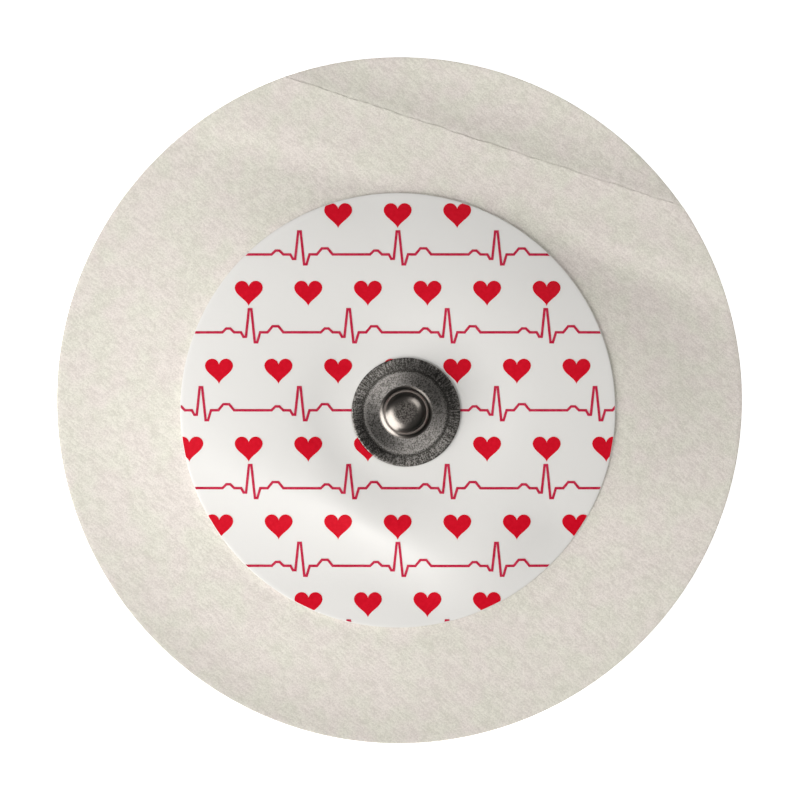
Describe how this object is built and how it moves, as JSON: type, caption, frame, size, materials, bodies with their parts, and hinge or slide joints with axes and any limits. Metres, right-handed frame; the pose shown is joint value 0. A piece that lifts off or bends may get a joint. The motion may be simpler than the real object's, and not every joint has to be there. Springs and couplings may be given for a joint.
{
  "type": "ecg electrode",
  "caption": "Round disposable snap ECG electrode: non-woven cloth disc with a lapped lift tab, printed film label, metal snap stud, sensor eyelet and gel pad on a release liner.",
  "frame": {"origin": "centre of the die-cut disc, on the underside of the release liner", "axes": "+Z out of the disc through the snap stud, +X to the right and +Y up as seen from above with the lift tab at the upper right"},
  "size_m": [0.06, 0.06, 0.005],
  "materials": {
    "stud_metal": "drawn and tumbled, dull nickel grey",
    "sensor_coat": "moulded plastic with a matt silver and silver chloride coat",
    "label_film": "white film with a soft gloss and red print",
    "nonwoven_cloth": "soft bonded non-woven polyester, cream",
    "gel": "wet, slightly cloudy solid gel",
    "liner_film": "siliconed plastic film, smooth"
  },
  "bodies": {
    "root": {"snap_stud": "stud_metal", "sensor_eyelet": "sensor_coat", "label_disc": "label_film", "cloth_backing": "nonwoven_cloth", "lift_tab": "nonwoven_cloth", "gel_pad": "gel", "release_liner": "liner_film"}
  },
  "joints": []
}
